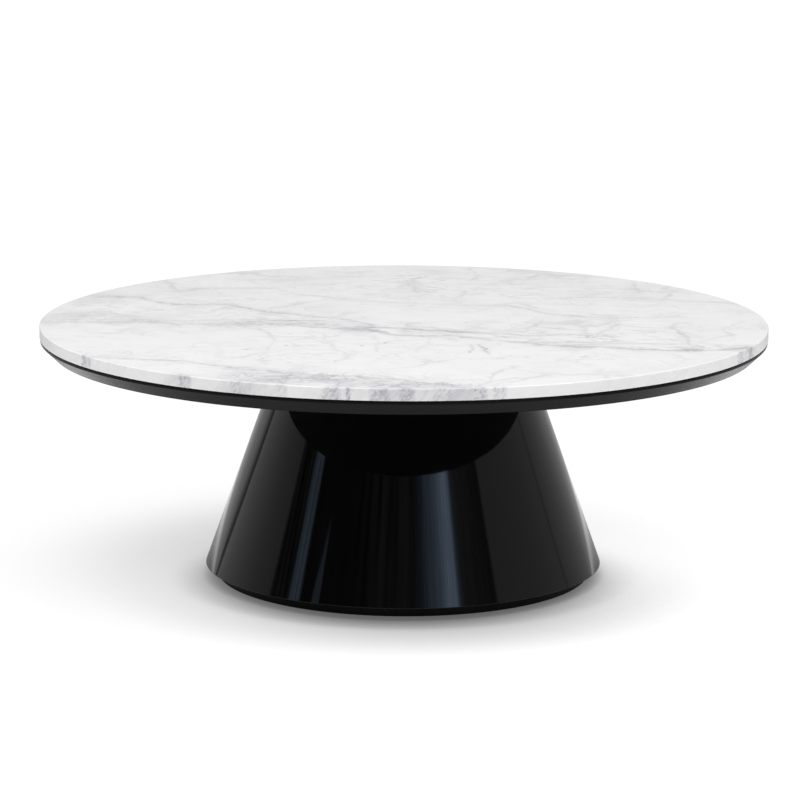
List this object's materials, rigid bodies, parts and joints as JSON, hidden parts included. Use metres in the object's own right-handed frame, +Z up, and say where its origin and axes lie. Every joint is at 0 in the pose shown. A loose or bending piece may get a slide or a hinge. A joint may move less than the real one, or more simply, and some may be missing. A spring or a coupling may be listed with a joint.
{
  "type": "round cocktail table",
  "caption": "Low round table: a loose veined white stone disc on a bevelled black wood sub-top, carried by a hollow gloss-black cone pedestal on a recessed plinth with levelling feet.",
  "frame": {"origin": "on the floor, at the middle of the round table", "axes": "+Z up along the table's axis; a camera on the -Y side sees the view of the picture"},
  "size_m": [1.2192, 1.2192, 0.4318],
  "materials": {
    "white_marble": "polished white marble with soft grey veins",
    "clear_silicone": "clear soft silicone",
    "black_stained_wood": "black stained veneer and solid wood, satin",
    "black_gloss_lacquer": "high-gloss black lacquer on bent board",
    "black_painted_board": "satin black paint",
    "birch_plywood": "plain plywood",
    "beech": "plain turned beech",
    "zinc_steel": "bright zinc plated",
    "black_nylon": "moulded nylon"
  },
  "bodies": {
    "base": {"marble_bumpers": "clear_silicone", "sub_top_panel": "black_stained_wood", "edge_segment_1": "black_stained_wood", "edge_segment_2": "black_stained_wood", "edge_segment_3": "black_stained_wood", "edge_segment_4": "black_stained_wood", "edge_segment_5": "black_stained_wood", "edge_segment_6": "black_stained_wood", "edge_segment_7": "black_stained_wood", "edge_segment_8": "black_stained_wood", "shell_panel_1": "black_gloss_lacquer", "shell_panel_2": "black_gloss_lacquer", "shell_panel_3": "black_gloss_lacquer", "plinth_disc": "black_painted_board", "pedestal_head_disc": "birch_plywood", "pedestal_foot_disc": "birch_plywood", "lower_former_ring": "birch_plywood", "upper_former_ring": "birch_plywood", "pedestal_rib_1": "birch_plywood", "pedestal_rib_2": "birch_plywood", "pedestal_rib_3": "birch_plywood", "pedestal_rib_4": "birch_plywood", "pedestal_rib_5": "birch_plywood", "pedestal_rib_6": "birch_plywood", "locating_dowels": "beech", "sub_top_bolts": "zinc_steel", "bolt_tee_nuts": "zinc_steel", "head_disc_screws": "zinc_steel", "foot_disc_screws": "zinc_steel", "plinth_screws": "zinc_steel", "foot_tee_nuts": "zinc_steel"},
    "stone_top": {"marble_top": "white_marble"},
    "levelling_pad_1": {"levelling_pad_1": "black_nylon"},
    "levelling_stem_1": {"levelling_stem_1": "zinc_steel"},
    "levelling_pad_2": {"levelling_pad_2": "black_nylon"},
    "levelling_stem_2": {"levelling_stem_2": "zinc_steel"},
    "levelling_pad_3": {"levelling_pad_3": "black_nylon"},
    "levelling_stem_3": {"levelling_stem_3": "zinc_steel"},
    "levelling_pad_4": {"levelling_pad_4": "black_nylon"},
    "levelling_stem_4": {"levelling_stem_4": "zinc_steel"},
    "levelling_pad_5": {"levelling_pad_5": "black_nylon"},
    "levelling_stem_5": {"levelling_stem_5": "zinc_steel"},
    "levelling_pad_6": {"levelling_pad_6": "black_nylon"},
    "levelling_stem_6": {"levelling_stem_6": "zinc_steel"}
  },
  "joints": [
    {"name": "top_lift", "type": "slide", "parent": "base", "child": "stone_top", "axis": [0, 0, 1], "range_m": [0, 0.12]},
    {"name": "pad_travel_1", "type": "slide", "parent": "base", "child": "levelling_pad_1", "axis": [0, 0, -1], "range_m": [0, 0.01]},
    {"name": "stem_turn_1", "type": "hinge", "parent": "levelling_pad_1", "child": "levelling_stem_1", "pos_m": [0.23842, 0.13765, 0.009], "axis": [0, 0, -1], "range_deg": [0, 2870]},
    {"name": "pad_travel_2", "type": "slide", "parent": "base", "child": "levelling_pad_2", "axis": [0, 0, -1], "range_m": [0, 0.01]},
    {"name": "stem_turn_2", "type": "hinge", "parent": "levelling_pad_2", "child": "levelling_stem_2", "pos_m": [0, 0.2753, 0.009], "axis": [0, 0, -1], "range_deg": [0, 2870]},
    {"name": "pad_travel_3", "type": "slide", "parent": "base", "child": "levelling_pad_3", "axis": [0, 0, -1], "range_m": [0, 0.01]},
    {"name": "stem_turn_3", "type": "hinge", "parent": "levelling_pad_3", "child": "levelling_stem_3", "pos_m": [-0.23842, 0.13765, 0.009], "axis": [0, 0, -1], "range_deg": [0, 2870]},
    {"name": "pad_travel_4", "type": "slide", "parent": "base", "child": "levelling_pad_4", "axis": [0, 0, -1], "range_m": [0, 0.01]},
    {"name": "stem_turn_4", "type": "hinge", "parent": "levelling_pad_4", "child": "levelling_stem_4", "pos_m": [-0.23842, -0.13765, 0.009], "axis": [0, 0, -1], "range_deg": [0, 2870]},
    {"name": "pad_travel_5", "type": "slide", "parent": "base", "child": "levelling_pad_5", "axis": [0, 0, -1], "range_m": [0, 0.01]},
    {"name": "stem_turn_5", "type": "hinge", "parent": "levelling_pad_5", "child": "levelling_stem_5", "pos_m": [0, -0.2753, 0.009], "axis": [0, 0, -1], "range_deg": [0, 2870]},
    {"name": "pad_travel_6", "type": "slide", "parent": "base", "child": "levelling_pad_6", "axis": [0, 0, -1], "range_m": [0, 0.01]},
    {"name": "stem_turn_6", "type": "hinge", "parent": "levelling_pad_6", "child": "levelling_stem_6", "pos_m": [0.23842, -0.13765, 0.009], "axis": [0, 0, -1], "range_deg": [0, 2870]}
  ],
  "couplings": [
    {"joint": "pad_travel_1", "follows": "stem_turn_1", "m_per_rad": 0.00019894},
    {"joint": "pad_travel_2", "follows": "stem_turn_2", "m_per_rad": 0.00019894},
    {"joint": "pad_travel_3", "follows": "stem_turn_3", "m_per_rad": 0.00019894},
    {"joint": "pad_travel_4", "follows": "stem_turn_4", "m_per_rad": 0.00019894},
    {"joint": "pad_travel_5", "follows": "stem_turn_5", "m_per_rad": 0.00019894},
    {"joint": "pad_travel_6", "follows": "stem_turn_6", "m_per_rad": 0.00019894}
  ]
}
